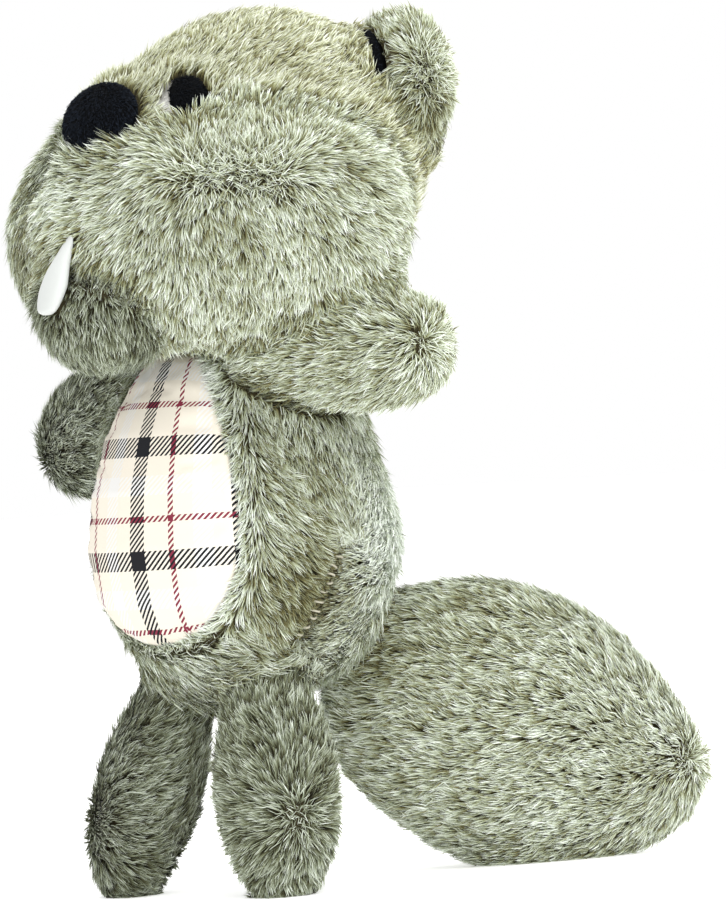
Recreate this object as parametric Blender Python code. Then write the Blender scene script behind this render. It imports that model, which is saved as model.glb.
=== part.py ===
"""Plush beaver dog toy: stuffed furred parts, a check cloth belly, felt eyes and a soft tooth.

The toy stands on its two feet and the underside of its tail. It faces -Y and its left side is
+X. The origin is on the floor, under the middle of the bounding box. Sizes are in metres.
"""
import math

import bmesh
import bpy
from mathutils import Matrix, Vector
from mathutils.bvhtree import BVHTree

# Clearance between pieces that touch, and a distance beyond any of them
GAP = 0.0003
FAR = 1.0

# Legs
FOOT_SPACING = 0.076
FOOT_FORWARD = 0.0215
HIP_SPACING = 0.036
HIP_FORWARD = 0.004
HIP_HEIGHT = 0.072
LEG_WIDTH = 0.041
LEG_DEPTH = 0.036
SOLE_SINK = 0.003

# Torso
TORSO_WIDTH = 0.096
TORSO_DEPTH = 0.094
TORSO_HEIGHT = 0.125
HIP_OVERLAP = 0.012
TORSO_LEAN = 0.015

# Head, measured from the neck
HEAD_WIDTH = 0.104
HEAD_LENGTH = 0.121
HEAD_HEIGHT = 0.094
HEAD_RISE = 0.041
HEAD_BACK = 0.046
NOSE_RISE = 0.006

# Cheeks
JOWL_LENGTH = 0.110
JOWL_THICKNESS = 0.074
JOWL_HEIGHT = 0.078
JOWL_SPACING = 0.050
JOWL_FORWARD = 0.026
JOWL_DROP = 0.021
JOWL_ANGLE = math.radians(45.0)
JOWL_SLOPE = 0.03

# Lower jaw
CHIN_WIDTH = 0.044
CHIN_DEPTH = 0.034
CHIN_HEIGHT = 0.036
CHIN_FORWARD = 0.063
CHIN_DROP = 0.046

# Face
NOSE_WIDTH = 0.030
NOSE_HEIGHT = 0.024
NOSE_THICKNESS = 0.014
NOSE_TILT = math.radians(25.0)
EYE_WIDTH = 0.015
EYE_HEIGHT = 0.019
EYE_THICKNESS = 0.010
EYE_FORWARD = 0.010
EYE_ANGLE = math.radians(36.0)
WHITE_WIDTH = 0.018
WHITE_HEIGHT = 0.021
WHITE_THICKNESS = 0.006
WHITE_SHIFT = 0.002
WHITE_TOWARD = (1.0, 0.6, 0.5)
TOOTH_WIDTH = 0.013
TOOTH_LENGTH = 0.026
TOOTH_THICKNESS = 0.007
TOOTH_SLANT = math.radians(20.0)
TOOTH_FORWARD = 0.002
TOOTH_ROOT_IN = 0.005
TOOTH_RISE = 0.001

# Ears
EAR_WIDTH = 0.049
EAR_HEIGHT = 0.052
EAR_THICKNESS = 0.031
EAR_TURN = math.radians(30.0)
EAR_SET_BACK = 0.037
EAR_ANGLE = math.radians(27.0)
EAR_LIFT = -0.001
LINING_WIDTH = 0.032
LINING_HEIGHT = 0.037
LINING_DEPTH = 0.012
LINING_WALL = 0.003

# Arms
ARM_LENGTH = 0.072
ARM_WIDTH = 0.040
SHOULDER_SPACING = 0.036
SHOULDER_DROP = 0.022
SHOULDER_FORWARD = 0.040

# Tail
TAIL_LENGTH = 0.118
TAIL_HEIGHT = 0.094
TAIL_THICKNESS = 0.052
TAIL_SWING = math.radians(37.0)
TAIL_JOIN_RISE = 0.015
TAIL_ROOT_IN = 0.010
TAIL_ROOT_DROP = 0.0045
TAIL_TIP_DROP = 0.0295

# Belly panel and the squeaker behind it
PANEL_WIDTH = 0.064
PANEL_HEIGHT = 0.098
PANEL_THICKNESS = 0.0015
PANEL_RISE = 0.066
PANEL_TAPER = 0.36
SQUEAKER_DIAMETER = 0.040
SQUEAKER_THICKNESS = 0.022
REED_DIAMETER = 0.010
REED_LENGTH = 0.012
REED_PROUD = 0.003
SQUEAKER_RISE = 0.058
SQUEAKER_COVER = 0.005
SQUEAKER_ROUND = 0.005

# Fractions that shape the stuffed forms, evenly spaced along each spine
TORSO_WIDE = (1.16, 1.12, 0.97, 0.88, 0.98)
TORSO_BEND = (0.4, -0.22, -0.36, 0.07, 1.0)
HEAD_WIDE = (1.10, 1.12, 1.0, 0.79, 0.50)
HEAD_HIGH = (1.06, 1.10, 1.02, 0.82, 0.46)
HEAD_LIFT = (-0.25, -0.05, 0.0, 0.42, 1.0)
LEG_WIDE = (0.80, 0.96, 1.0, 0.88)
JOWL_WIDE = (0.88, 1.02, 0.90)
ARM_WIDE = (0.70, 0.86, 1.06, 1.10)
TAIL_HIGH = (0.95, 0.98, 0.95, 0.84, 0.60)
TAIL_THICK = (0.75, 0.98, 1.0, 0.80, 0.45)

# Directions
UP = Vector((0.0, 0.0, 1.0))
ACROSS = Vector((1.0, 0.0, 0.0))
FRONT = Vector((0.0, -1.0, 0.0))
LEFT_REACH = Vector((0.874, 0.483, 0.03))
RIGHT_REACH = Vector((-0.86, 0.30, -0.40))


def clear_scene():
    """Takes out whatever the file starts with."""
    for thing in list(bpy.data.objects):
        bpy.data.objects.remove(thing, do_unlink=True)


def material(name, colour, roughness):
    """A cloth material of one colour."""
    mat = bpy.data.materials.new(name)
    mat.use_nodes = True
    shader = mat.node_tree.nodes["Principled BSDF"]
    shader.inputs["Base Color"].default_value = (*colour, 1.0)
    shader.inputs["Roughness"].default_value = roughness
    shader.inputs["Metallic"].default_value = 0.0
    return mat


def new_object(name, bm, mat):
    """Turns a closed bmesh into a named object with smooth faces that point out."""
    if bm.calc_volume(signed=True) < 0.0:
        bmesh.ops.reverse_faces(bm, faces=bm.faces)
    mesh = bpy.data.meshes.new(name)
    bm.to_mesh(mesh)
    bm.free()
    mesh.shade_smooth()
    mesh.materials.append(mat)
    thing = bpy.data.objects.new(name, mesh)
    bpy.context.scene.collection.objects.link(thing)
    return thing


def between(knots, t):
    """A smooth value through evenly spaced knots, numbers or vectors, for t from 0 to 1."""
    spans = len(knots) - 1
    at = min(max(t, 0.0), 1.0) * spans
    k = min(int(at), spans - 1)
    f = at - k
    a = knots[max(k - 1, 0)]
    b = knots[k]
    c = knots[k + 1]
    d = knots[min(k + 2, spans)]
    return b + (c - a) * (0.5 * f) + (a * 2.0 - b * 5.0 + c * 4.0 - d) * (0.5 * f * f) + (
        (b - c) * 3.0 + d - a) * (0.5 * f * f * f)


def stuffed(name, spine, wide, deep, across, mat, fullness=1.0, sides=22, rings=13):
    """A ball drawn out along a spine, with its half width and half depth at each knot.

    The width runs along the direction called across, and the depth at right angles to it.
    A fullness below 1 gives blunter ends.
    """
    bm = bmesh.new()
    half_step = Matrix.Rotation(math.pi / sides, 4, "Z")
    bmesh.ops.create_uvsphere(bm, u_segments=sides, v_segments=rings, radius=1.0, matrix=half_step)
    step = 0.01
    for v in bm.verts:
        t = 0.5 * (1.0 - v.co.z)
        reach = math.hypot(v.co.x, v.co.y)
        ring = 0.0 if reach < 1e-6 else reach ** (fullness - 1.0)
        along = (between(spine, t + step) - between(spine, t - step)).normalized()
        side = (across - along * across.dot(along)).normalized()
        up = side.cross(along)
        v.co = (between(spine, t) + side * (between(wide, t) * v.co.x * ring)
                + up * (between(deep, t) * v.co.y * ring))
    return new_object(name, bm, mat)


def pad(name, centre, facing, size, mat, sides=20, rings=10):
    """A flattened ball of the given width, height and thickness that faces one way."""
    back = -facing.normalized()
    across = back.cross(UP).normalized()
    up = across.cross(back)
    bm = bmesh.new()
    bmesh.ops.create_uvsphere(bm, u_segments=sides, v_segments=rings, radius=0.5)
    for v in bm.verts:
        v.co = (centre + across * (v.co.x * size[0]) + up * (v.co.y * size[1])
                - back * (v.co.z * size[2]))
    return new_object(name, bm, mat)


def grown(thing, by):
    """A cutter: a copy of a solid, grown outward by a clearance."""
    bm = bmesh.new()
    bm.from_mesh(thing.data)
    bm.normal_update()
    moves = [(v, v.co + v.normal * by) for v in bm.verts]
    for v, place in moves:
        v.co = place
    mesh = bpy.data.meshes.new(thing.name + "_cutter")
    bm.to_mesh(mesh)
    bm.free()
    cutter = bpy.data.objects.new(thing.name + "_cutter", mesh)
    bpy.context.scene.collection.objects.link(cutter)
    return cutter


def apply_boolean(thing, cutter, operation):
    """Applies one Boolean for good and takes the cutter away."""
    mod = thing.modifiers.new("cut", "BOOLEAN")
    mod.operation = operation
    mod.solver = "EXACT"
    mod.object = cutter
    deps = bpy.context.evaluated_depsgraph_get()
    mesh = bpy.data.meshes.new_from_object(thing.evaluated_get(deps))
    thing.modifiers.clear()
    thing.data = mesh
    bpy.data.objects.remove(cutter, do_unlink=True)


def seat(thing, *neighbours):
    """Cuts a piece to fit against its neighbours, a clearance away from each."""
    for neighbour in neighbours:
        apply_boolean(thing, grown(neighbour, GAP), "DIFFERENCE")
    keep_largest(thing)


def keep_largest(thing):
    """Drops the slivers that a cut may leave, and closes up tiny edges."""
    bm = bmesh.new()
    bm.from_mesh(thing.data)
    bmesh.ops.remove_doubles(bm, verts=bm.verts, dist=0.00002)
    groups = []
    seen = set()
    for first in bm.verts:
        if first in seen:
            continue
        seen.add(first)
        group = [first]
        for v in group:
            for edge in v.link_edges:
                other = edge.other_vert(v)
                if other not in seen:
                    seen.add(other)
                    group.append(other)
        groups.append(group)
    groups.sort(key=len)
    for group in groups[:-1]:
        bmesh.ops.delete(bm, geom=group, context="VERTS")
    bm.to_mesh(thing.data)
    bm.free()


def flatten(thing, height):
    """Cuts a piece off level at a height and closes it with a flat face."""
    bm = bmesh.new()
    bm.from_mesh(thing.data)
    bmesh.ops.bisect_plane(bm, geom=bm.verts[:] + bm.edges[:] + bm.faces[:],
                           plane_co=(0.0, 0.0, height), plane_no=(0.0, 0.0, 1.0), clear_inner=True)
    rim = [edge for edge in bm.edges if edge.is_boundary]
    bmesh.ops.contextual_create(bm, geom=rim)
    bmesh.ops.recalc_face_normals(bm, faces=bm.faces)
    bm.to_mesh(thing.data)
    bm.free()


def surface_point(thing, inside, direction):
    """The place and the outward normal on a solid's outer surface, in a direction from inside."""
    bm = bmesh.new()
    bm.from_mesh(thing.data)
    tree = BVHTree.FromBMesh(bm)
    bm.free()
    place, normal = tree.ray_cast(inside + direction.normalized() * FAR, -direction)[:2]
    return place, normal


def make_torso(cloth):
    """The pear-shaped body, leaning back a little on its tail."""
    bottom = HIP_HEIGHT - HIP_OVERLAP
    spine = [Vector((0.0, TORSO_LEAN * (1.0 + bend), bottom + TORSO_HEIGHT * k / 4))
             for k, bend in enumerate(TORSO_BEND)]
    wide = [TORSO_WIDTH / 2 * f for f in TORSO_WIDE]
    deep = [TORSO_DEPTH / 2 * f for f in TORSO_WIDE]
    return stuffed("torso", spine, wide, deep, ACROSS, cloth, 1.0, 28, 16), spine


def make_head(cloth, neck):
    """The cranium with the bridge of the snout, drawn from back to front."""
    back = neck.y + HEAD_BACK
    spine = [Vector((0.0, back - HEAD_LENGTH * k / 4, neck.z + HEAD_RISE + NOSE_RISE * lift))
             for k, lift in enumerate(HEAD_LIFT)]
    wide = [HEAD_WIDTH / 2 * f for f in HEAD_WIDE]
    deep = [HEAD_HEIGHT / 2 * f for f in HEAD_HIGH]
    return stuffed("head", spine, wide, deep, ACROSS, cloth, 0.95, 28, 16), spine


def make_muzzle(cloth, middle):
    """The two cheeks, each a bean that runs from the front outward and back, joined in front."""
    centre = middle + Vector((JOWL_SPACING / 2, -JOWL_FORWARD, -JOWL_DROP))
    along = Vector((math.sin(JOWL_ANGLE), math.cos(JOWL_ANGLE), JOWL_SLOPE)).normalized()
    ends = along * (JOWL_LENGTH / 2)
    high = [JOWL_HEIGHT / 2 * f for f in JOWL_WIDE]
    thick = [JOWL_THICKNESS / 2 * f for f in JOWL_WIDE]
    muzzle = stuffed("muzzle", [centre - ends, centre, centre + ends], high, thick, UP, cloth, 0.9)
    bm = bmesh.new()
    bm.from_mesh(muzzle.data)
    everything = bm.verts[:] + bm.edges[:] + bm.faces[:]
    bmesh.ops.bisect_plane(bm, geom=everything, plane_co=(0.0, 0.0, 0.0), plane_no=(1.0, 0.0, 0.0),
                           clear_inner=True)
    everything = bm.verts[:] + bm.edges[:] + bm.faces[:]
    bmesh.ops.mirror(bm, geom=everything, axis="X", merge_dist=0.00001)
    bmesh.ops.recalc_face_normals(bm, faces=bm.faces)
    bm.to_mesh(muzzle.data)
    bm.free()
    return muzzle


def make_leg(cloth, side):
    """One leg from the hip to a foot with a flat sole on the floor."""
    hip = Vector((side * HIP_SPACING / 2, -HIP_FORWARD, HIP_HEIGHT))
    foot = Vector((side * FOOT_SPACING / 2, -FOOT_FORWARD, -SOLE_SINK))
    spine = [hip.lerp(foot, k / 3) for k in range(4)]
    wide = [LEG_WIDTH / 2 * f for f in LEG_WIDE]
    deep = [LEG_DEPTH / 2 * f for f in LEG_WIDE]
    name = "leg_left" if side > 0 else "leg_right"
    return stuffed(name, spine, wide, deep, Vector((side, 1.0, 0.0)), cloth, 0.8)


def make_arm(cloth, neck, side, reach):
    """One arm, fattest at the hand."""
    start = neck + Vector((side * SHOULDER_SPACING / 2, -SHOULDER_FORWARD, -SHOULDER_DROP))
    end = start + reach.normalized() * ARM_LENGTH
    spine = [start.lerp(end, k / 3) for k in range(4)]
    wide = [ARM_WIDTH / 2 * f for f in ARM_WIDE]
    name = "arm_left" if side > 0 else "arm_right"
    return stuffed(name, spine, wide, wide, UP, cloth, 0.85)


def make_tail(cloth, torso):
    """The broad tail, swung to the left and down, with its underside resting on the floor."""
    inside = Vector((0.0, TORSO_LEAN, HIP_HEIGHT + TAIL_JOIN_RISE))
    back = surface_point(torso, inside, -FRONT)[0].y - TAIL_ROOT_IN
    along = Vector((math.sin(TAIL_SWING), math.cos(TAIL_SWING), 0.0)) * TAIL_LENGTH
    root = Vector((0.0, back, HIP_HEIGHT - TAIL_ROOT_DROP))
    tip = Vector((0.0, back, TAIL_HEIGHT / 2 - TAIL_TIP_DROP)) + along
    spine = [root.lerp(tip, k / 4) for k in range(5)]
    high = [TAIL_HEIGHT / 2 * f for f in TAIL_HIGH]
    thick = [TAIL_THICKNESS / 2 * f for f in TAIL_THICK]
    return stuffed("tail", spine, high, thick, UP, cloth, 0.9, 26, 16)


def make_eye(white, black, head, bridge, side, neighbours):
    """A felt oval with a black pile oval on it, on the slope between forehead and cheek."""
    name = "left" if side > 0 else "right"
    start = bridge + FRONT * EYE_FORWARD
    out = Vector((side * math.cos(EYE_ANGLE), 0.0, math.sin(EYE_ANGLE)))
    place, normal = surface_point(head, start, out)
    inward = Vector((-side * WHITE_TOWARD[0], -WHITE_TOWARD[1], -WHITE_TOWARD[2]))
    inward = (inward - normal * inward.dot(normal)).normalized()
    felt = pad("eye_white_" + name, place + inward * WHITE_SHIFT, normal,
               (WHITE_WIDTH, WHITE_HEIGHT, WHITE_THICKNESS), white, 16, 8)
    seat(felt, head, *neighbours)
    pupil = pad("eye_pupil_" + name, place, normal,
                (EYE_WIDTH, EYE_HEIGHT, EYE_THICKNESS), black, 16, 8)
    seat(pupil, head, felt, *neighbours)


def make_nose(black, head, muzzle, bridge):
    """The black oval at the front end of the snout, facing forward and up."""
    facing = Vector((0.0, -math.cos(NOSE_TILT), math.sin(NOSE_TILT)))
    place = surface_point(head, bridge, facing)[0]
    nose = pad("nose", place, facing, (NOSE_WIDTH, NOSE_HEIGHT, NOSE_THICKNESS), black)
    seat(nose, head, muzzle)
    return nose


def make_tooth(white, muzzle, chin, middle):
    """The front tooth, hanging from between the cheeks in front of the lower jaw."""
    level = Vector((0.0, middle.y, middle.z - JOWL_DROP + TOOTH_RISE))
    cleft = surface_point(muzzle, level, FRONT)[0]
    top = cleft + FRONT * TOOTH_FORWARD
    along = Vector((0.0, -math.sin(TOOTH_SLANT), -math.cos(TOOTH_SLANT))) * TOOTH_LENGTH
    spine = [top - FRONT * TOOTH_ROOT_IN, top + along / 3, top + along * (2 / 3), top + along]
    tooth = stuffed("tooth", spine, [TOOTH_WIDTH / 2] * 4, [TOOTH_THICKNESS / 2] * 4, ACROSS,
                    white, 0.6, 18, 12)
    seat(tooth, muzzle, chin)


def make_ear(cloth, black, head, middle, side):
    """A round furred ear with its lining let into the hollow front."""
    name = "left" if side > 0 else "right"
    start = middle + Vector((0.0, EAR_SET_BACK, 0.0))
    out = Vector((side * math.cos(EAR_ANGLE), 0.0, math.sin(EAR_ANGLE)))
    place = surface_point(head, start, out)[0] + UP * EAR_LIFT
    facing = Vector((-side * math.sin(EAR_TURN), -math.cos(EAR_TURN), 0.0))
    front = place + facing * (EAR_THICKNESS / 2 - LINING_WALL)
    ear = pad("ear_" + name, place, facing, (EAR_WIDTH, EAR_HEIGHT, EAR_THICKNESS), cloth, 22, 12)
    lining = pad("ear_lining_" + name, front, facing,
                 (LINING_WIDTH, LINING_HEIGHT, LINING_DEPTH), black, 18, 8)
    seat(ear, head, lining)
    hollow = pad("hollow", front + facing * LINING_WALL, facing,
                 (LINING_WIDTH, LINING_HEIGHT, LINING_DEPTH), black, 16, 8)
    apply_boolean(lining, hollow, "DIFFERENCE")
    seat(lining, head)


def make_panel(check, torso, bottom, neighbours):
    """The cloth let into the front of the torso, cut from a thin shell over it."""
    panel = grown(torso, GAP + PANEL_THICKNESS)
    panel.name = "belly_panel"
    panel.data.materials.append(check)
    apply_boolean(panel, grown(torso, GAP), "DIFFERENCE")
    bm = bmesh.new()
    bmesh.ops.create_circle(bm, cap_ends=True, cap_tris=False, segments=32, radius=1.0)
    for v in bm.verts:
        wide = PANEL_WIDTH / 2 * v.co.x * (1.0 - PANEL_TAPER * v.co.y)
        v.co = Vector((wide, TORSO_LEAN, bottom + PANEL_RISE + PANEL_HEIGHT / 2 * v.co.y))
    lid = bmesh.ops.extrude_face_region(bm, geom=bm.faces[:])
    moved = [v for v in lid["geom"] if isinstance(v, bmesh.types.BMVert)]
    bmesh.ops.translate(bm, verts=moved, vec=FRONT * (TORSO_DEPTH + TORSO_LEAN))
    bmesh.ops.recalc_face_normals(bm, faces=bm.faces)
    prism = new_object("outline", bm, check)
    apply_boolean(panel, prism, "INTERSECT")
    seat(panel, *neighbours)
    panel.data.shade_smooth()


def make_drum(name, mat, centre, radius, length, rounding):
    """A short round drum along Y with rounded rims."""
    turn = Matrix.Translation(centre) @ Matrix.Rotation(math.pi / 2, 4, "X")
    bm = bmesh.new()
    bmesh.ops.create_cone(bm, cap_ends=True, cap_tris=False, segments=24, radius1=radius,
                          radius2=radius, depth=length, matrix=turn)
    if rounding > 0.0:
        rims = [edge for edge in bm.edges if any(len(face.verts) > 4 for face in edge.link_faces)]
        bmesh.ops.bevel(bm, geom=rims, offset=rounding, segments=3, profile=0.5,
                        affect="EDGES", material=-1)
    return new_object(name, bm, mat)


def make_squeaker(plastic, torso, bottom):
    """The round squeaker in its pocket behind the belly panel, with its reed in its front."""
    start = Vector((0.0, TORSO_LEAN, bottom + SQUEAKER_RISE))
    skin = surface_point(torso, start, FRONT)[0]
    front = skin - FRONT * SQUEAKER_COVER
    pocket_length = SQUEAKER_THICKNESS + SQUEAKER_COVER + TORSO_DEPTH
    back = front - FRONT * SQUEAKER_THICKNESS
    pocket = make_drum("pocket", plastic, back + FRONT * (pocket_length / 2 - GAP),
                       SQUEAKER_DIAMETER / 2 + GAP, pocket_length, 0.0)
    apply_boolean(torso, pocket, "DIFFERENCE")
    bulb = make_drum("squeaker_bulb", plastic, front - FRONT * (SQUEAKER_THICKNESS / 2),
                     SQUEAKER_DIAMETER / 2, SQUEAKER_THICKNESS, SQUEAKER_ROUND)
    reed_middle = front + FRONT * (REED_PROUD - REED_LENGTH / 2)
    bore = make_drum("bore", plastic, reed_middle - FRONT * GAP,
                     REED_DIAMETER / 2 + GAP, REED_LENGTH, 0.0)
    apply_boolean(bulb, bore, "DIFFERENCE")
    make_drum("squeaker_reed", plastic, reed_middle, REED_DIAMETER / 2, REED_LENGTH, 0.0)


def centre_on_floor():
    """Moves the whole toy so that the origin is under the middle of its bounding box."""
    pieces = list(bpy.context.scene.objects)
    corners = [v.co for thing in pieces for v in thing.data.vertices]
    low = [min(c[k] for c in corners) for k in range(3)]
    high = [max(c[k] for c in corners) for k in range(3)]
    shift = Vector((-(low[0] + high[0]) / 2, -(low[1] + high[1]) / 2, -low[2]))
    for thing in pieces:
        thing.data.transform(Matrix.Translation(shift))


def main():
    """Makes every piece and seats it on its neighbours."""
    clear_scene()
    fur = material("grey_green_fur", (0.20, 0.19, 0.12), 0.95)
    black = material("black_pile", (0.01, 0.01, 0.012), 0.9)
    white = material("white_felt", (0.85, 0.84, 0.80), 0.9)
    check = material("check_cloth", (0.75, 0.68, 0.55), 0.9)
    plastic = material("clear_plastic", (0.80, 0.80, 0.78), 0.4)

    torso, torso_spine = make_torso(fur)
    neck = torso_spine[-1]
    bottom = torso_spine[0].z
    head, head_spine = make_head(fur, neck)
    seat(head, torso)
    middle = Vector((0.0, head_spine[2].y, head_spine[2].z))
    bridge = head_spine[3]
    muzzle = make_muzzle(fur, middle)
    seat(muzzle, torso, head)
    chin = pad("chin", middle + Vector((0.0, -CHIN_FORWARD, -CHIN_DROP)), FRONT,
               (CHIN_WIDTH, CHIN_HEIGHT, CHIN_DEPTH), fur)
    seat(chin, torso, head, muzzle)
    nose = make_nose(black, head, muzzle, bridge)
    make_tooth(white, muzzle, chin, middle)
    for side in (1.0, -1.0):
        make_eye(white, black, head, bridge, side, [muzzle, nose])
        make_ear(fur, black, head, middle, side)
    arms = []
    for side, reach in ((1.0, LEFT_REACH), (-1.0, RIGHT_REACH)):
        arm = make_arm(fur, neck, side, reach)
        seat(arm, torso, head, muzzle, chin, *arms)
        arms.append(arm)
    legs = []
    for side in (1.0, -1.0):
        leg = make_leg(fur, side)
        seat(leg, torso, *legs)
        flatten(leg, 0.0)
        legs.append(leg)
    tail = make_tail(fur, torso)
    seat(tail, torso, *legs)
    flatten(tail, 0.0)
    make_panel(check, torso, bottom, [head, muzzle, chin, *arms, *legs])
    make_squeaker(plastic, torso, bottom)
    centre_on_floor()


main()
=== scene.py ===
"""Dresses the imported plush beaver: furred covers, a woven check belly, felt eyes and a soft tooth.

The frame's solids give every shape. Each furred solid gets a stuffed cover a little inside it and a
pile of tapered strands that lie the way the fur is combed. Sizes are in metres.
"""

import math

import bmesh
import bpy
import numpy as np
from bpy.props import FloatProperty, IntProperty, PointerProperty, StringProperty
from mathutils import Matrix, Vector
from mathutils.bvhtree import BVHTree
from mathutils.kdtree import KDTree


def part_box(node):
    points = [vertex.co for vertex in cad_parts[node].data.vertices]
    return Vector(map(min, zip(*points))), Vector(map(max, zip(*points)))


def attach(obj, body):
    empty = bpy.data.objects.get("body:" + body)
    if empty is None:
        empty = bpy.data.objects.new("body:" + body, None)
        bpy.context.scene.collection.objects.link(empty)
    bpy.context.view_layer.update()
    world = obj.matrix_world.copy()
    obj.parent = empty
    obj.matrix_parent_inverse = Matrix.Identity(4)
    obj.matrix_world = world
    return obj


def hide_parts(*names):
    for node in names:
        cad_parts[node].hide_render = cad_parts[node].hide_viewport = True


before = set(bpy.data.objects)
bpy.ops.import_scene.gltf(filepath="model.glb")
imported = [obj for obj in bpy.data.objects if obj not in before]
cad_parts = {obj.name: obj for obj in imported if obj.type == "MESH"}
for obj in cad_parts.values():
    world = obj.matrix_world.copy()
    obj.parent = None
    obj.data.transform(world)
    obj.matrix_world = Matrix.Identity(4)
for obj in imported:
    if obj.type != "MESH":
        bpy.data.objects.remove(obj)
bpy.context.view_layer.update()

bl_info = {
    "name": "Plush Beaver",
    "version": (1, 0, 0),
    "blender": (4, 5, 0),
    "location": "View3D > Sidebar > Beaver",
    "description": "Dresses the packed plush beaver dog toy with fur, cloth, eyes and a stage",
    "category": "Object",
}

MM = 0.001
WELD = 0.00002

# Where the covers and the pile meet the floor and other pieces
FLOOR_CLEAR = 0.0002   # the lowest that a strand or a sole comes
SOLE_HEIGHT = 0.012    # the legs and the tail's edge are pressed flat below this
TOUCHING = 0.0005      # pieces closer than this touch
FULL_DEPTH = 0.010     # the backing reaches its full depth this far from other pieces
COVERED = 0.0025       # a root has no room for a strand when another piece lies this close over it
DOUBTFUL = 0.006       # roots closer than this to another piece are measured one by one
POCKET_GAP = 0.005     # strands grow this far from the squeaker, so none in its pocket

# How far from another piece the pile is pushed, lapped over it, raised or cropped
HARD_REACH = 0.0035
LAP_REACH = 0.0045
STAND_REACH = 0.005
SPARED = 0.0006        # strands keep this far from the eyes
FACE_ON = 0.7          # a strand hides an eye when it lies over a face turned this much its way

# How the pile is combed: it wanders in waves of these sizes, and runs to a seam from this far
WIDE_WAVE = 0.030
SMALL_WAVE = 0.009
SINK_REACH = 0.030

# The pile's tones change in patches of these sizes
WIDE_PATCH = 0.025
PATCH = 0.0045

# How a strand is rooted and bent, and how the pile lies at the seam
ROOTED = 0.0003        # how far a root lies inside the backing
BEND_AT = 0.55         # the share of its length below the bend
BEND = 0.35            # how far it turns there, in radians
SEAM_PILE = 0.0012     # the length left at the seam itself
# The darker tone beside the seam is painted shade in its crease.
SEAM_SHADE = 0.005     # the darker tone beside the seam fades out over this
STRAND_FACES = ((0, 1, 2), (2, 1, 3))
STRAND_HEIGHTS = (0.0, 0.45, 0.45, 1.0)

# The belly cloth, the tooth and the seam's thread
UV_UNIT = 0.1
CLOTH_RINGS, CLOTH_SPOKES = 34, 110
CLOTH_THICK = 0.0006
CLOTH_STEPS = 20
SIM_SCALE = 10.0       # the solver works better on a cloth ten times as large as life
SWELL_CAP = 0.0015     # the most that the cloth swells
EDGE_TUCK = 0.0022     # how far its sewn edge turns in under the fur
TOOTH_LEAN = (0.0030, 0.0006)   # how far the tooth's top leans to the left and back
STITCH_THICK = 0.0007
STITCH_GAP = 0.0031
STITCH_REACH = 0.0012

# The photograph's view: where the camera looks, from how far, and how it is turned
PHOTO_PIXELS = (726, 903)
PIXEL = 0.00031
VIEW_TARGET = (0.0311, -0.0023, 0.1332)
VIEW_DISTANCE = 2.2
VIEW_AZIMUTH = math.radians(45.0)
VIEW_ELEVATION = math.radians(0.5)
VIEW_ROLL = math.radians(4.0)

# Where the fur parts, whorls or runs together, in millimetres
CHEEK_PARTING = ((38.5, -75.3, 222.7), (48.2, -67.8, 222.4), (57.5, -58.2, 220.3))
FAR_CHEEK_TOP = ((-40.0, -56.0, 258.0),)
NOSE_TIP = ((0.0, -82.0, 240.0),)
EAR_WHORL = ((61.2, 8.6, 253.0), (61.9, 9.5, 243.0))
ARM_WHORL = ((82.9, -22.6, 165.3),)
FAR_ARM_WHORL = ((-106.0, -58.0, 122.0),)
LEG_WHORL = ((47.2, -54.4, 25.7),)
TAIL_WHORL = ((73.9, 93.6, 29.0),)
CHIN_TOP = ((0.0, -80.0, 205.0),)
SIDE_FURROW = ((47.9, -27.4, 109.7), (47.3, -31.1, 102.0))
SIDE_SEAM = ((47.3, -31.1, 102.0), (46.4, -33.3, 96.4), (43.6, -36.0, 89.0), (40.1, -38.3, 82.5),
             (36.1, -39.7, 77.2))

# Balls, each a middle and a radius in millimetres, that strands stay out of
EYE_CORNER = ((18.7, -65.3, 244.0), 1.6)
EAR_OPENING = (((46.2, 3.0, 256.4), 3.0), ((47.2, 1.9, 252.2), 2.8))
EYE_FRONT = (((24.0, -62.5, 248.0), 4.5), ((27.0, -67.0, 249.5), 4.5))
TOOTH_TOP = (((4.4, -95.8, 203.8), 2.8),)

# The felt's upper edge, pressed in under the fur, in millimetres
FELT_EDGE = ((17.0, -57.9, 251.6), (16.0, -61.4, 249.9), (16.0, -64.0, 247.6))
FELT_PRESS = (-0.9, 2.4, -1.2)
FELT_REACH = 3.0


# Colours and nodes

def linear(hex_colour):
    """An sRGB hex colour as linear RGBA."""
    value = hex_colour.lstrip("#")
    parts = [int(value[k:k + 2], 16) / 255.0 for k in (0, 2, 4)]
    return tuple(c / 12.92 if c <= 0.04045 else ((c + 0.055) / 1.055) ** 2.4 for c in parts) + (1.0,)


def add_node(tree, kind, settings=None, inputs=None, links=None):
    """Adds a shader node, gives it settings and socket values, and links sockets into it."""
    node = tree.nodes.new(kind)
    for key, value in (settings or {}).items():
        setattr(node, key, value)
    for key, value in (inputs or {}).items():
        node.inputs[key].default_value = value
    for key, socket in (links or {}).items():
        tree.links.new(socket, node.inputs[key])
    return node


def new_material(name):
    """A material with its node tree and its Principled shader."""
    material = bpy.data.materials.new(name)
    material.use_nodes = True
    tree = material.node_tree
    return material, tree, tree.nodes["Principled BSDF"]


def ramp(tree, factor, stops):
    """A colour ramp from (position, colour) stops."""
    node = add_node(tree, "ShaderNodeValToRGB", links={"Fac": factor})
    elements = node.color_ramp.elements
    while len(elements) < len(stops):
        elements.new(0.5)
    for element, (position, colour) in zip(elements, stops):
        element.position = position
        element.color = colour
    return node


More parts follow.
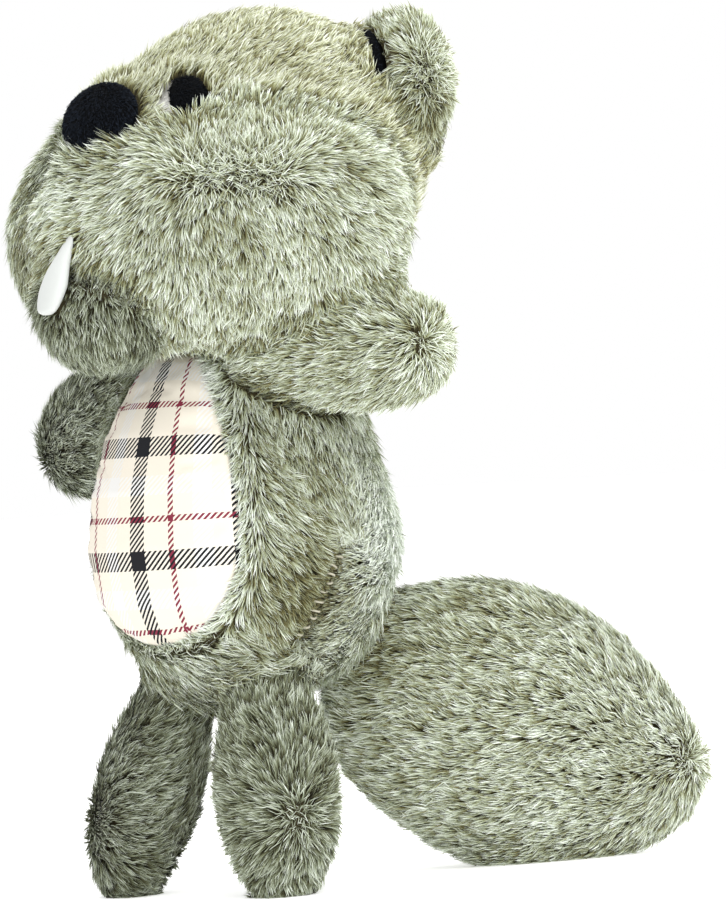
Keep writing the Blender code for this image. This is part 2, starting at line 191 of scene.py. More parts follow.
def pile_material(name, colours, spread, sheen, specular=0.2):
    """Dyed fibre pile, matt: dark at the root and pale at the tip, partly its tipped dye and partly painted
    shade deep in the pile, so the eye reads its depth.

    The pile's UV map holds each strand's own tone across and the height on the strand upwards.
    """
    material, tree, shader = new_material(name)
    place = add_node(tree, "ShaderNodeUVMap", {"uv_map": "OFBake"})
    parts = add_node(tree, "ShaderNodeSeparateXYZ", links={"Vector": place.outputs["UV"]})
    shift = add_node(tree, "ShaderNodeMapRange", links={"Value": parts.outputs["X"]},
                     inputs={"To Min": -spread, "To Max": spread})
    height = add_node(tree, "ShaderNodeMath", {"operation": "ADD"},
                      links={0: parts.outputs["Y"], 1: shift.outputs["Result"]})
    stops = [(k / (len(colours) - 1), linear(colour)) for k, colour in enumerate(colours)]
    along = ramp(tree, height.outputs["Value"], stops)
    tree.links.new(along.outputs["Color"], shader.inputs["Base Color"])
    shader.inputs["Roughness"].default_value = 0.8
    shader.inputs["Specular IOR Level"].default_value = specular
    shader.inputs["Sheen Weight"].default_value = sheen
    shader.inputs["Sheen Roughness"].default_value = 0.5
    return material


def backing_material(name, colour):
    """The knitted backing that holds the pile: dark and matt, partly the undercoat's olive colour and partly
    painted shade, so the gaps between tufts look deep.

    The specks are about 2 mm wide, as the knit's stitches are.
    """
    material, tree, shader = new_material(name)
    where = add_node(tree, "ShaderNodeTexCoord")
    speck = add_node(tree, "ShaderNodeTexNoise", links={"Vector": where.outputs["Object"]},
                     inputs={"Scale": 450.0, "Detail": 3.0})
    dark = linear(colour)
    tones = ramp(tree, speck.outputs["Fac"], [(0.3, tuple(c * 0.6 for c in dark[:3]) + (1.0,)), (0.7, dark)])
    tree.links.new(tones.outputs["Color"], shader.inputs["Base Color"])
    shader.inputs["Roughness"].default_value = 0.95
    shader.inputs["Specular IOR Level"].default_value = 0.1
    return material


# Meshes

def node_bmesh(node):
    """A welded copy of a CAD node's mesh."""
    bm = bmesh.new()
    bm.from_mesh(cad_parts[node].data)
    bmesh.ops.remove_doubles(bm, verts=bm.verts, dist=WELD)
    return bm


def link_mesh(name, mesh):
    """A new object with this mesh, linked to the scene."""
    thing = bpy.data.objects.new(name, mesh)
    bpy.context.scene.collection.objects.link(thing)
    return thing


def link_bmesh(name, bm):
    """A new smooth-shaded object from a bmesh."""
    mesh = bpy.data.meshes.new(name)
    bm.to_mesh(mesh)
    bm.free()
    mesh.shade_smooth()
    return link_mesh(name, mesh)


def apply_modifiers(thing):
    """Makes an object's modifiers part of its mesh."""
    deps = bpy.context.evaluated_depsgraph_get()
    mesh = bpy.data.meshes.new_from_object(thing.evaluated_get(deps))
    thing.modifiers.clear()
    thing.data = mesh
    mesh.name = thing.name


def dress(thing, material, replaced=()):
    thing.data.materials.clear()
    thing.data.materials.append(material)
    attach(thing, "root")
    if replaced:
        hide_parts(*replaced)


def remeshed(node, name, voxel):
    """An even, gently smoothed copy of a CAD node."""
    thing = link_bmesh(name, node_bmesh(node))
    remesh = thing.modifiers.new("even", "REMESH")
    remesh.mode = "VOXEL"
    remesh.voxel_size = voxel
    smooth = thing.modifiers.new("soft", "SMOOTH")
    smooth.factor = 0.5
    smooth.iterations = 4
    apply_modifiers(thing)
    thing.data.shade_smooth()
    return thing


def node_tree(names):
    """One search tree over several CAD nodes."""
    verts = []
    faces = []
    for name in names:
        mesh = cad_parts[name].data
        start = len(verts)
        verts += [v.co.copy() for v in mesh.vertices]
        faces += [[start + k for k in face.vertices] for face in mesh.polygons]
    return BVHTree.FromPolygons(verts, faces)


def mesh_arrays(mesh):
    """A mesh's points, point normals and triangles as arrays."""
    points = np.empty(len(mesh.vertices) * 3)
    mesh.vertices.foreach_get("co", points)
    mesh.calc_loop_triangles()
    tris = np.empty(len(mesh.loop_triangles) * 3, dtype=np.int32)
    mesh.loop_triangles.foreach_get("vertices", tris)
    points = points.reshape(-1, 3)
    tris = tris.reshape(-1, 3)
    faces = np.cross(points[tris[:, 1]] - points[tris[:, 0]], points[tris[:, 2]] - points[tris[:, 0]])
    normals = np.zeros_like(points)
    for k in range(3):
        np.add.at(normals, tris[:, k], faces)
    return points, unit(normals), tris, 0.5 * np.linalg.norm(faces, axis=1)


def unit(vectors):
    """Vectors scaled to length one."""
    return vectors / np.maximum(np.linalg.norm(vectors, axis=1, keepdims=True), 1e-9)


def smoothstep(low, high, value):
    """0 below low, 1 above high and a soft step between."""
    t = np.clip((value - low) / (high - low), 0.0, 1.0)
    return t * t * (3.0 - 2.0 * t)


def ripple(points, size, seed):
    """A smooth random value from about -1 to 1 that changes over the given size."""
    rng = np.random.default_rng(seed)
    total = np.zeros(len(points))
    for _ in range(5):
        wave = unit(rng.normal(size=(1, 3)))[0] * (2.0 * math.pi / size) * rng.uniform(0.6, 1.4)
        total += np.sin(points @ wave + rng.uniform(0.0, 2.0 * math.pi))
    return total / 2.5


def nearest_on_line(points, line):
    """The nearest point of a polyline to each point; a line of one point is that point."""
    knots = np.array(line) * MM
    best = np.repeat(knots[:1], len(points), axis=0)
    gap = np.linalg.norm(points - best, axis=1)
    for a, b in zip(knots[:-1], knots[1:]):
        span = b - a
        t = np.clip((points - a) @ span / (span @ span), 0.0, 1.0)
        place = a + t[:, None] * span
        far = np.linalg.norm(points - place, axis=1)
        closer = far < gap
        best[closer] = place[closer]
        gap[closer] = far[closer]
    return best, gap


def mirrored(line):
    """The same line on the right side of the toy."""
    return tuple((-x, y, z) for x, y, z in line)


# Fur
#
# A plan says how one piece's pile lies. It flows away from "lines" and whorls on them, runs to the
# "sink" line, and hangs along "drift". It is pushed off "hard" pieces, lies over "lap" ones, stands up
# beside "stand" ones and never hides "spare" ones. "beneath" and "across" pieces don't hold it down.
# clear balls stay free of strands, grooves lower the backing, and shade spots paint shade onto the pile, or
# painted light where their amount is below zero.

def comb(points, normals, plan, away, toward):
    """The way the fur lies at each point, along the surface, and how tousled it is."""
    flow = np.zeros_like(points)
    tousle = np.zeros(len(points))
    lines = plan.get("lines", [])
    if lines:
        found = [nearest_on_line(points, line) for line in lines]
        gaps = np.array([gap for _, gap in found])
        pick = gaps.argmin(axis=0)
        places = np.array([place for place, _ in found])[pick, np.arange(len(points))]
        gap = gaps.min(axis=0)
        flow += unit(points - places)
        tousle = np.exp(-(gap / plan.get("whorl", 0.006)) ** 2)
    if "sink" in plan:
        place, gap = nearest_on_line(points, plan["sink"])
        free = 1.0 - np.linalg.norm(toward, axis=1)
        flow += unit(place - points) * (4.0 * free * np.exp(-gap / SINK_REACH))[:, None]
    flow += np.array(plan.get("drift", (0.0, 0.0, 0.0)))
    flow += away * 1.5 + toward * 3.0
    flow -= normals * np.sum(flow * normals, axis=1, keepdims=True)
    aside = np.cross(normals, unit(flow))
    turn = (ripple(points, WIDE_WAVE, plan["seed"]) * 0.22
            + ripple(points, SMALL_WAVE, plan["seed"] + 1) * 0.26)
    flow = unit(unit(flow) * np.cos(turn)[:, None] + aside * np.sin(turn)[:, None])
    return flow, tousle


def scatter(surface, fit, plan, pile, rng):
    """Picks where strands are rooted and how the pile lies there, away from covered and bare places."""
    points, normals, tris, areas = surface
    count = int(areas.sum() * pile["density"])
    pick = rng.choice(len(tris), size=count, p=areas / areas.sum())
    a, b = np.sqrt(rng.random(count)), rng.random(count)
    weights = np.stack([1.0 - a, a * (1.0 - b), a * b], axis=1)[:, :, None]
    corners = tris[pick]
    spots = {"roots": (points[corners] * weights).sum(axis=1),
             "facing": unit((normals[corners] * weights).sum(axis=1)),
             "push": (fit["push"][corners] * weights).sum(axis=1),
             "toward": (fit["toward"][corners] * weights).sum(axis=1)}
    for key in ("depth", "stand", "cropped", "air"):
        spots[key] = (fit[key][corners] * weights[:, :, 0]).sum(axis=1)
    roots, facing, air = spots["roots"], spots["facing"], spots["air"]
    doubtful = np.flatnonzero(air < DOUBTFUL)
    air[doubtful] = open_air(roots[doubtful], facing[doubtful], fit["above"])
    kept = air > pile["bare"]
    if "pocket" in plan:
        kept &= open_air(roots, facing, node_tree(plan["pocket"])) > POCKET_GAP
    if "bare_line" in plan:
        _, gap = nearest_on_line(roots, plan["bare_line"])
        kept &= gap > plan["bare_width"] * rng.uniform(0.3, 1.0, count)
    return {key: part[kept] for key, part in spots.items()}


def tuft_middles(roots, area, pile, rng):
    """For each strand, the strand in the middle of its tuft."""
    tufts = max(1, int(area / pile["tuft"] ** 2))
    centres = rng.choice(len(roots), size=min(tufts, len(roots)), replace=False)
    tree = KDTree(len(centres))
    for k, root in enumerate(roots[centres]):
        tree.insert(root, k)
    tree.balance()
    return centres[np.array([tree.find(root)[1] for root in roots])]


def strand_lengths(spots, lap, low, plan, pile, rng):
    """Each strand's length, and how near the side seam it stands, from 0 to 1."""
    roots = spots["roots"]
    length = pile["length"] * plan.get("long", 1.0) * rng.uniform(0.72, 1.12, len(roots))
    length *= 1.0 - plan.get("shorten", 0.55) * np.linalg.norm(spots["push"], axis=1)
    length *= (1.0 - 0.25 * low) * (1.0 - 0.3 * spots["cropped"])
    length *= (1.0 + plan.get("stretch", 0.3) * spots["stand"]) * (1.0 - plan.get("trim", 0.25) * lap)
    if "bare_line" not in plan:
        return length, np.zeros(len(roots))
    _, gap = nearest_on_line(roots, plan["bare_line"])
    return np.minimum(length, SEAM_PILE + 0.8 * gap), np.exp(-(gap / SEAM_SHADE) ** 2)


def bend_strands(sunk, facing, heading, length, lean):
    """Each strand's middle and tip: it rises from its root and bends over on the way."""
    lower, upper = (length * BEND_AT)[:, None], (length * (1.0 - BEND_AT))[:, None]
    steep, flat = (lean + BEND)[:, None], (lean - BEND)[:, None]
    middles = sunk + facing * lower * np.sin(steep) + heading * lower * np.cos(steep)
    return middles, middles + facing * upper * np.sin(flat) + heading * upper * np.cos(flat)


def strand_tones(roots, flow, mine, lift, plan, rng):
    """Each strand's tone: tufts differ, patches lie along the pile, and spots of painted shade darken it, or
    painted light lightens it where the amount is below zero.
    """
    count = len(roots)
    across = roots - flow * np.sum(roots * flow, axis=1, keepdims=True) * 0.6
    tone = (plan.get("tone", 0.5) + lift + 0.13 * rng.normal(size=count)[mine] + 0.10 * rng.normal(size=count)
            + 0.06 * ripple(roots, WIDE_PATCH, plan["seed"] + 7)
            + 0.10 * ripple(across, PATCH, plan["seed"] + 8))
    # Painted shade: each spot darkens the tone around it; a negative amount makes it painted light.
    for place, radius, amount in plan.get("painted_shade_and_light", ()):
        gap = np.linalg.norm(roots - np.array(place) * MM, axis=1)
        tone -= amount * np.exp(-(gap / (radius * MM)) ** 2)
    return np.clip(tone, 0.02, 0.98)


def clear_strands(middles, tips, spots, plan, pile):
    """Which strands stay out of the plan's balls and off the pieces that it spares."""
    stay = np.ones(len(tips), dtype=bool)
    places = (middles, tips, (middles + tips) / 2)
    for ball, radius in plan.get("clear", ()):
        for place in places:
            stay &= np.linalg.norm(place - np.array(ball) * MM, axis=1) > radius * MM
    if "spare" in plan:
        tree = node_tree(plan["spare"])
        for k in np.flatnonzero(spots["cropped"] > 0.02):
            back = Vector(-spots["facing"][k])
            for place in places:
                over, lie, _, _ = tree.ray_cast(Vector(place[k]), back, pile["length"])
                hidden = over is not None and abs(lie.dot(back)) > FACE_ON
                stay[k] &= not hidden and tree.find_nearest(place[k])[3] > SPARED
    return stay


def grow_pile(name, surface, fit, plan, pile):
    """A mesh of tapered strands, drawn together into tufts, rooted in a cover a little inside the solid."""
    rng = np.random.default_rng(plan["seed"])
    spots = scatter(surface, fit, plan, pile, rng)
    roots, facing = spots["roots"], spots["facing"]
    count = len(roots)
    mine = tuft_middles(roots, surface[3].sum(), pile, rng)

    flow, tousle = comb(roots, facing, plan, spots["push"], spots["toward"])
    lap = np.linalg.norm(spots["toward"], axis=1)
    aside = np.cross(facing, flow)
    turn = rng.normal(0.0, 0.20, count) + rng.uniform(-3.0, 3.0, count) * np.maximum(tousle, lap * 0.25)
    heading = unit(flow * np.cos(turn)[:, None] + aside * np.sin(turn)[:, None])
    low = 1.0 - smoothstep(0.0, SOLE_HEIGHT, roots[:, 2])
    length, seam = strand_lengths(spots, lap, low, plan, pile, rng)
    lean = pile["rise"] + 0.6 * tousle * rng.uniform(0.4, 1.0, count) + rng.normal(0.0, 0.15, count)
    lean += plan.get("raise", 0.5) * spots["stand"] + 0.15 * lap
    sunk = roots - facing * (settled(spots["depth"], facing, low, pile) + ROOTED)[:, None]
    middles, tips = bend_strands(sunk, facing, heading, length, lean)

    # Tufts: the strands lean towards the middle one, and each tuft is lifted and turned a little
    tuft_lift = rng.normal(0.0, pile["length"] * 0.07, count)[mine][:, None] * facing
    tuft_turn = rng.normal(0.0, pile["length"] * 0.12, count)[mine][:, None] * aside
    pull = (pile["clump"] * rng.uniform(0.4, 1.0, count) * (1.0 - 0.7 * tousle))[:, None]
    tips = tips + (tips[mine] - tips) * pull + tuft_lift + tuft_turn
    middles = middles + (middles[mine] - middles) * pull * 0.45 + (tuft_lift + tuft_turn) * 0.4
    for place in (middles, tips):
        place[:, 2] = np.maximum(place[:, 2], FLOOR_CLEAR)

    # Each strand's flat side is turned by chance, so the light catches some of them
    run = unit(tips - sunk)
    edge = unit(np.cross(run, facing))
    spin = rng.normal(0.0, 0.55, count)[:, None]
    edge = unit(edge * np.cos(spin) + np.cross(run, edge) * np.sin(spin))
    half = (pile["width"] / 2 * rng.uniform(0.6, 1.4, count))[:, None]
    # Tone shifts: paler where the pile is tousled; paler beside a piece that it laps over, painted light in
    # that crease; darker beside the side seam, painted shade in its crease.
    tone = strand_tones(roots, flow, mine, 0.12 * tousle + 0.3 * lap - 0.4 * seam, plan, rng)
    stay = clear_strands(middles, tips, spots, plan, pile)
    ends = rng.uniform(0.85, 1.0, count)
    return strand_mesh(name, sunk[stay], middles[stay], tips[stay], (edge * half)[stay], tone[stay],
                       ends[stay])


def settled(depth, facing, low, pile):
    """The backing's depth near the floor: pressed flat below and rounded off at the sides."""
    down = np.clip(-facing[:, 2], 0.0, 1.0)
    return depth * (1.0 - 0.9 * low * down) + pile["inset"] * 0.6 * low * (1.0 - down)


def strand_mesh(name, roots, middles, tips, halves, tones, ends):
    """Strands of two triangles each, bent where they meet, with tone and height in their UV map."""
    count = len(roots)
    verts = np.stack([roots, middles + halves, middles - halves, tips], axis=1)
    start = np.arange(count)[:, None] * 4
    corners = np.array(STRAND_FACES).ravel()
    loops = start + corners
    heights = np.array(STRAND_HEIGHTS)[corners]
    uvs = np.stack([np.repeat(tones[:, None], 6, axis=1), heights[None, :] * ends[:, None]], axis=2)
    mesh = bpy.data.meshes.new(name)
    mesh.vertices.add(count * 4)
    mesh.vertices.foreach_set("co", verts.astype(np.float32).ravel())
    mesh.loops.add(count * 6)
    mesh.loops.foreach_set("vertex_index", loops.astype(np.int32).ravel())
    mesh.polygons.add(count * 2)
    mesh.polygons.foreach_set("loop_start", (np.arange(count * 2) * 3).astype(np.int32))
    layer = mesh.uv_layers.new(name="OFBake")
    layer.data.foreach_set("uv", uvs.astype(np.float32).ravel())
    mesh.update(calc_edges=True)
    mesh.shade_smooth()
    return link_mesh(name, mesh)


def press_in(thing, line, shift, reach):
    """Presses a piece in near a line, by a shift in millimetres that fades out over the reach."""
    points = mesh_arrays(thing.data)[0]
    _, gap = nearest_on_line(points, line)
    points += np.array(shift) * MM * np.exp(-(gap / (reach * MM)) ** 2)[:, None]
    thing.data.vertices.foreach_set("co", points.astype(np.float32).ravel())
    thing.data.update()


def open_air(points, normals, tree):
    """How far each point is from other solids; nothing where one lies over it."""
    near = np.array([tree.find_nearest(p)[3] for p in points])
    start = points - normals * TOUCHING
    over = [tree.ray_cast(Vector(p), Vector(n), COVERED)[0] is not None for p, n in zip(start, normals)]
    return np.where(over, 0.0, near)


def pushed_from(points, names, reach):
    """A push away from the named nodes near each point."""
    if not names:
        return np.zeros_like(points)
    tree = node_tree(names)
    found = [tree.find_nearest(p) for p in points]
    gap = np.array([hit[3] for hit in found])
    place = np.array([tuple(hit[0]) for hit in found])
    return unit(points - place) * np.exp(-(gap / reach) ** 2)[:, None]


def furred(node, material, backing, pile, plan):
    """A stuffed cover and its pile, which together stand for one CAD node."""
    names = [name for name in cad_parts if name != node]
    beside = node_tree([name for name in names if name not in plan.get("beneath", ())])
    above = node_tree([name for name in names if name not in plan.get("across", ())])
    cover = remeshed(node, node + "_cover", pile["voxel"])
    if "press" in plan:
        press_in(cover, *plan["press"])
    surface = mesh_arrays(cover.data)
    points, normals = surface[0], surface[1]
    depth = pile["inset"] * smoothstep(TOUCHING, FULL_DEPTH, open_air(points, normals, beside))
    for line, deep, wide in plan.get("grooves", ()):
        _, gap = nearest_on_line(points, line)
        depth += deep * MM * np.exp(-(gap / (wide * MM)) ** 2)
    toward = -pushed_from(points, plan.get("lap", ()), LAP_REACH)
    depth *= 1.0 - 0.5 * np.linalg.norm(toward, axis=1)
    fit = {"depth": depth, "toward": toward, "air": open_air(points, normals, above), "above": above,
           "push": pushed_from(points, plan.get("hard", ()), HARD_REACH),
           "stand": np.linalg.norm(pushed_from(points, plan.get("stand", ()), STAND_REACH), axis=1),
           "cropped": np.linalg.norm(pushed_from(points, plan.get("spare", ()), LAP_REACH), axis=1)}
    hairs = grow_pile(node + "_pile", surface, fit, plan, pile)
    low = 1.0 - smoothstep(0.0, SOLE_HEIGHT, points[:, 2])
    points = points - normals * settled(depth, normals, low, pile)[:, None]
    points[:, 2] = np.maximum(points[:, 2], FLOOR_CLEAR)
    cover.data.vertices.foreach_set("co", points.astype(np.float32).ravel())
    cover.data.update()
    dress(cover, backing, replaced=(node,))
    dress(hairs, material)
    return cover, hairs


# Settings

class BeaverFur(bpy.types.PropertyGroup):
    """Sizes and colours of the long pile."""
    length: FloatProperty(name="Pile length", description="Length of the longest strands", default=0.0078,
                          min=0.002, max=0.03, unit="LENGTH")
    inset: FloatProperty(name="Backing depth", description="How far the backing lies inside the solid",
                         default=0.0042, min=0.0, max=0.01, unit="LENGTH")
    width: FloatProperty(name="Strand width", default=0.00034, min=0.0001, max=0.002, unit="LENGTH",
                         description="Width of a strand where it bends; a real fibre is far thinner, "
                                     "and one strand stands for a lock of them so that it shows")
    tuft: FloatProperty(name="Tuft spacing", description="Distance from one tuft to the next",
                        default=0.0014, min=0.0005, max=0.01, unit="LENGTH")
    density: IntProperty(name="Strands", description="Strands on a square centimetre", default=345,
                         min=10, max=600)
    grey: StringProperty(name="Grey fur", description="sRGB hex colours from root to tip",
                         default="#38341f #6c673f #9fa583 #d3dbc8 #f3f8f1")
    warm: StringProperty(name="Forehead fur", description="sRGB hex colours from root to tip",
                         default="#413b23 #777146 #abae86 #dbdfc8 #f6f9ee")
    # A darker copy of the grey pile for the chin, the far arm and the legs: painted shade, where they lie
    # under the head and body or on the far side.
    deep: StringProperty(name="Fur in painted shade", description="sRGB hex colours of the legs and chin, root to tip",
                         default="#1d1d12 #45442c #767c60 #b0b8a3 #e2e9dc")
    knit: StringProperty(name="Backing", description="sRGB hex colour of the knitted backing",
                         default="#4d4732")


class BeaverFace(bpy.types.PropertyGroup):
    """Sizes and colours of the face's short pile, felt and tooth."""
    nap: FloatProperty(name="Nap length", description="Length of the black nap on nose and eyes",
                       default=0.0016, min=0.0005, max=0.005, unit="LENGTH")
    black: StringProperty(name="Black", description="sRGB hex colours of the black nap, root to tip",
                          default="#010203 #090c11 #222934")
    felt: StringProperty(name="Felt", description="sRGB hex colours of the white felt, root to tip",
                         default="#c9c8c4 #dad9d5 #e6e5e1")
    tooth: StringProperty(name="Tooth", description="sRGB hex colour of the tooth cloth", default="#bfc2bf")


class BeaverBelly(bpy.types.PropertyGroup):
    """Sizes and colours of the woven check."""
    repeat: FloatProperty(name="Check repeat", description="Distance from one band to the next",
                          default=0.034, min=0.005, max=0.1, unit="LENGTH")
    twill: FloatProperty(name="Twill spacing", default=0.0013, min=0.0003, max=0.005, unit="LENGTH",
                         description="Distance between the twill's diagonal ribs; about 1 mm on the real "
                                     "cloth, drawn a little coarser so that it shows")
    cream: StringProperty(name="Cream", description="sRGB hex colour of the ground", default="#dbd4c6")
    charcoal: StringProperty(name="Charcoal", description="sRGB hex colour of the wide bands",
                             default="#17181c")
    wine: StringProperty(name="Wine", description="sRGB hex colour of the narrow bands", default="#7a2a3c")
    white: StringProperty(name="White", description="sRGB hex colour of the white bands", default="#dad9d6")


class BeaverStage(bpy.types.PropertyGroup):
    """The floor, the backdrop and the lamps."""
    key: FloatProperty(name="Key light", description="Power of the large lamp in front", default=18.0,
                       min=0.0, subtype="POWER")
    fill: FloatProperty(name="Fill light", description="Power of the lamp on the other side", default=14.0,
                        min=0.0, subtype="POWER")
    top: FloatProperty(name="Top light", description="Power of the lamp above", default=19.0, min=0.0,
                       subtype="POWER")
    ambient: FloatProperty(name="Ambient", description="Strength of the light from all round", default=0.78,
                           min=0.0)
    glow: FloatProperty(name="Floor glow", description="Light that the floor gives, as a lit sweep does",
                        default=0.45, min=0.0)
    floor: StringProperty(name="Floor", description="sRGB hex colour of the floor", default="#f3f3f3")


# Operators

class OBJECT_OT_beaver_fur(bpy.types.Operator):
    """Add the furred covers of the body, head, ears, limbs and tail"""
    bl_idname = "object.beaver_fur"
    bl_label = "Fur"

    def execute(self, context):
        look = context.scene.beaver_fur
        grey = pile_material("acrylic_pile_grey", look.grey.split(), 0.42, 0.1)
        warm = pile_material("acrylic_pile_warm", look.warm.split(), 0.42, 0.1)
        # The darker copy is painted shade for the parts that lie in shadow.
        deep = pile_material("acrylic_pile_painted_shade", look.deep.split(), 0.42, 0.1)
        backing = backing_material("knitted_backing", look.knit)
        pile = {"length": look.length, "inset": look.inset, "width": look.width, "tuft": look.tuft,
                "density": look.density * 1e4, "rise": 0.46, "clump": 0.5, "bare": 0.0003, "voxel": 0.0032,
                "fill": 0.8}
        eyes = ("eye_pupil_left", "eye_pupil_right")
        felt = ("eye_white_left", "eye_white_right")
        plans = {
            "torso": {"seed": 11, "drift": (0.0, 0.0, -1.0), "sink": SIDE_FURROW + SIDE_SEAM,
                      "beneath": ("belly_panel",), "lap": ("belly_panel",), "bare_line": SIDE_SEAM,
                      "bare_width": 0.0025,
                      "grooves": ((SIDE_SEAM, -2.6, 4.0),), "pocket": ("squeaker_bulb", "squeaker_reed"),
                      # Painted shade under the arm, low on the side and in the seam's furrow; the last spot
                      # is painted light along the back edge.
                      "painted_shade_and_light": (((41.0, -38.0, 125.0), 18.0, 0.2), ((40.0, -42.0, 90.0), 16.0, 0.3),
                                ((46.0, -34.0, 92.0), 18.0, 0.25), ((47.0, -25.0, 116.0), 6.0, 0.2),
                                ((42.0, 2.0, 108.0), 28.0, -0.5)),
                      "long": 1.15},
            "head": {"seed": 23, "lines": [NOSE_TIP], "drift": (0.0, 0.15, 0.8), "across": felt,
                     "clear": (EYE_CORNER, *EAR_OPENING), "spare": eyes, "tone": 0.47,
                     "hard": ("nose",), "shorten": 0.15, "stand": felt, "stretch": 0.1},
            "muzzle": {"seed": 31, "lines": [CHEEK_PARTING, FAR_CHEEK_TOP], "drift": (0.0, 0.0, -0.3),
                       "whorl": 0.0055, "clear": (EYE_CORNER, *EYE_FRONT, *TOOTH_TOP),
                       "stand": ("head", "nose"), "stretch": 0.25, "raise": 0.8, "spare": eyes,
                       "across": ("tooth",), "tone": 0.51,
                       "grooves": ((((-32.0, -78.0, 228.0),), 7.0, 12.0),),
                       # Painted light on the near cheek's left side; painted shade on the far cheek and in
                       # the cleft beside the tooth.
                       "painted_shade_and_light": (((-6.0, -90.0, 216.0), 12.0, -0.25), ((-24.0, -86.0, 202.0), 15.0, 0.2),
                                 ((-8.0, -92.5, 204.0), 5.0, 0.35))},
            # The chin's lower tone is more painted shade under the jowls.
            "chin": {"seed": 41, "lines": [CHIN_TOP], "drift": (0.0, 0.0, -0.3), "hard": ("tooth",),
                     "stand": ("belly_panel", "torso"), "stretch": 0.6, "tone": 0.44},
            "ear_left": {"seed": 53, "lines": [EAR_WHORL], "drift": (0.0, 0.0, -0.2),
                         "hard": ("ear_lining_left",), "clear": EAR_OPENING,
                         # Painted shade on the ear's lower part.
                         "painted_shade_and_light": (((62.0, 11.0, 236.0), 8.0, 0.25),),
                         "grooves": ((((56.0, 18.0, 228.0),), 5.0, 9.0),), "tone": 0.43},
            "ear_right": {"seed": 61, "lines": [mirrored(EAR_WHORL)], "drift": (0.0, 0.0, -0.2),
                          "hard": ("ear_lining_right",)},
            "arm_left": {"seed": 71, "lines": [ARM_WHORL], "whorl": 0.005},
            "arm_right": {"seed": 83, "lines": [FAR_ARM_WHORL]},
            # The legs' lower tones are painted shade under the body, the far leg's the most.
            "leg_left": {"seed": 97, "lines": [LEG_WHORL], "whorl": 0.005, "tone": 0.44},
            "leg_right": {"seed": 101, "lines": [mirrored(LEG_WHORL)], "whorl": 0.005, "tone": 0.40},
            "tail": {"seed": 113, "lines": [TAIL_WHORL], "drift": (0.0, -0.25, 0.0), "whorl": 0.004,
                     "tone": 0.54,
                     # Painted shade in the crease against the body, and the tail is darker along its upper
                     # edge.
                     "painted_shade_and_light": (((19.0, 11.0, 71.0), 16.0, 0.2), ((38.0, 34.0, 80.0), 22.0, 0.12))},
        }
        for node, plan in plans.items():
            # The chin, the far arm and the legs take the copy in painted shade.
            material = {"head": warm, "chin": deep, "arm_right": deep, "leg_left": deep,
                        "leg_right": deep}.get(node, grey)
            furred(node, material, backing, pile, plan)
        return {"FINISHED"}


class OBJECT_OT_beaver_face(bpy.types.Operator):
    """Add the nose, the eyes, the ear linings and the tooth"""
    bl_idname = "object.beaver_face"
    bl_label = "Face"

    def execute(self, context):
        look = context.scene.beaver_face
        black = pile_material("black_nap", look.black.split(), 0.3, 0.0, specular=0.08)
        felt = pile_material("white_felt", look.felt.split(), 0.3, 0.0)
        nap = {"length": look.nap, "inset": 0.0008, "width": 0.0002, "tuft": 0.0008, "density": 900e4,
               "rise": 0.5, "clump": 0.25, "bare": 0.0003, "voxel": 0.0009, "fill": 0.8}
        pressed = {"eye_white_left": (FELT_EDGE, FELT_PRESS, FELT_REACH),
                   "eye_white_right": (mirrored(FELT_EDGE), mirrored((FELT_PRESS,))[0], FELT_REACH)}
        fuzz = dict(nap, length=0.0009, inset=0.0003)
        sunk = dict(nap, length=0.0009, inset=0.0010)
        plans = (("nose", black, "black_pile", nap, 211), ("eye_pupil_left", black, "black_pile", nap, 223),
                 ("eye_pupil_right", black, "black_pile", nap, 227),
                 ("ear_lining_left", black, "lining", fuzz, 229),
                 ("ear_lining_right", black, "lining", fuzz, 233),
                 ("eye_white_left", felt, "white_felt", sunk, 239),
                 ("eye_white_right", felt, "white_felt", sunk, 241))
        for node, material, slot, kind, seed in plans:
            colours = look.felt if slot == "white_felt" else look.black
            backing = backing_material(node + "_backing", colours.split()[0])
            tone = 0.1 if "pupil" in node else 0.6
            plan = {"seed": seed, "drift": (0.0, 0.3, -0.5), "tone": tone}
            if node in pressed:
                plan["press"] = pressed[node]
            furred(node, material, backing, kind, plan)
        self.add_tooth(look)
        return {"FINISHED"}

    def add_tooth(self, look):
        """The stuffed tooth: narrow at the gum, in smooth satin that gives a soft, wide highlight."""
        material, _, shader = new_material("satin_tooth_cloth")
        shader.inputs["Base Color"].default_value = linear(look.tooth)
        shader.inputs["Roughness"].default_value = 0.45
        tooth = remeshed("tooth", "tooth_cover", 0.0008)
        points = mesh_arrays(tooth.data)[0]
        low, high = points.min(axis=0), points.max(axis=0)
        down = (high[2] - points[:, 2]) / (high[2] - low[2])
        for side in (0, 1):
            trend = np.polyfit(down, points[:, side], 1)
            axis = np.polyval(trend, down)
            points[:, side] = axis + (points[:, side] - axis) * (0.38 + 0.5 * smoothstep(0.05, 0.75, down))
            points[:, side] += TOOTH_LEAN[side] * (1.0 - down)
        tooth.data.vertices.foreach_set("co", points.ravel())
        tooth.data.update()
        dress(tooth, material, replaced=("tooth",))


